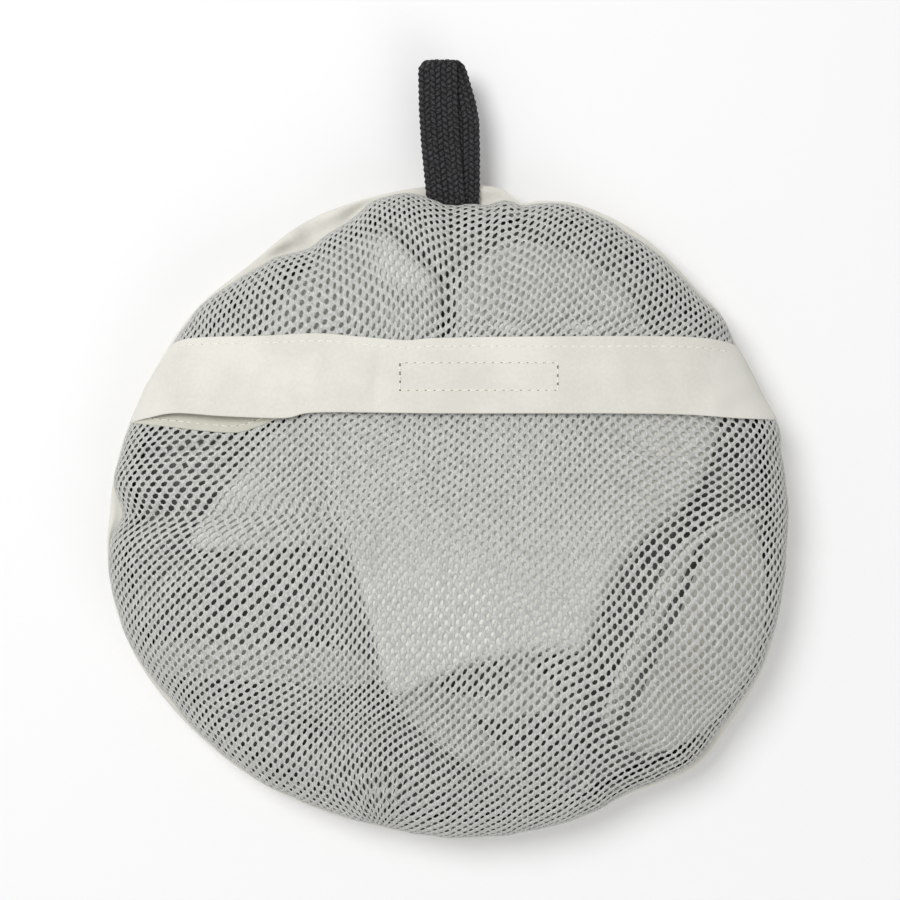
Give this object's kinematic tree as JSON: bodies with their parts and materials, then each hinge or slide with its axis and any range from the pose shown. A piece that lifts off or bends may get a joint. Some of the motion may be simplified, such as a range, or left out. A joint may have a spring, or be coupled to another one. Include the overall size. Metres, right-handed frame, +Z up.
{
  "type": "round mesh storage pouch",
  "caption": "Round storage pouch with a see-through mesh front, a fabric band over its hook-and-loop mouth, a hanging loop and a folded cloth cover packed inside.",
  "frame": {"origin": "on the surface that the pouch lies on, under the middle of the whole object with its hanging loop", "axes": "+Z up, away from the back panel; +Y towards the hanging loop; +X to the right, seen with the mesh front facing the viewer and the loop on top"},
  "size_m": [0.2218, 0.2534, 0.0448],
  "materials": {
    "woven_fabric": "plain-woven polyester, off-white, matt",
    "mesh_fabric": "warp-knitted polyester mesh, light grey, matt",
    "packed_fabric": "plain-woven polyester, off-white, matt",
    "coated_reverse": "dark coated reverse of the woven polyester",
    "hook_and_loop": "hook-and-loop tape, off-white",
    "thread": "spun polyester sewing thread, cream",
    "webbing": "flat braided tape, black"
  },
  "bodies": {
    "pouch": {"back_panel": "woven_fabric", "lower_mesh_panel": "mesh_fabric", "upper_mesh_panel": "mesh_fabric", "mouth_hem": "woven_fabric", "hem_stitching": "thread", "closure_loop_strip": "hook_and_loop", "mouth_band_left": "woven_fabric", "mouth_band_right": "woven_fabric", "band_stitching_left": "thread", "band_stitching_right": "thread", "rim_seam_binding": "woven_fabric", "rim_stitching": "thread", "packed_cloth_core": "coated_reverse", "packed_cloth_left_fold": "packed_fabric", "packed_cloth_right_fold": "packed_fabric", "packed_cloth_lower_fold": "packed_fabric", "packed_cloth_top_fold": "packed_fabric", "packed_cloth_centre_fold": "packed_fabric", "packed_cloth_edge_binding": "packed_fabric"},
    "mouth_flap": {"mouth_band_centre": "woven_fabric", "band_stitching_centre": "thread", "closure_box_stitching": "thread", "closure_hook_strip": "hook_and_loop"},
    "loop": {"hanging_loop": "webbing"}
  },
  "joints": [
    {"name": "mouth_flap_lift", "type": "hinge", "parent": "pouch", "child": "mouth_flap", "pos_m": [0.0094, 0.03518, 0.0434], "axis": [-1, 0, 0], "range_deg": [0, 75]},
    {"name": "hanging_loop_turn", "type": "hinge", "parent": "pouch", "child": "loop", "pos_m": [0.00089, 0.09069, 0.014], "axis": [1, 0, 0], "range_deg": [-15, 90], "stiffness_Nm_per_rad": 0.015}
  ]
}
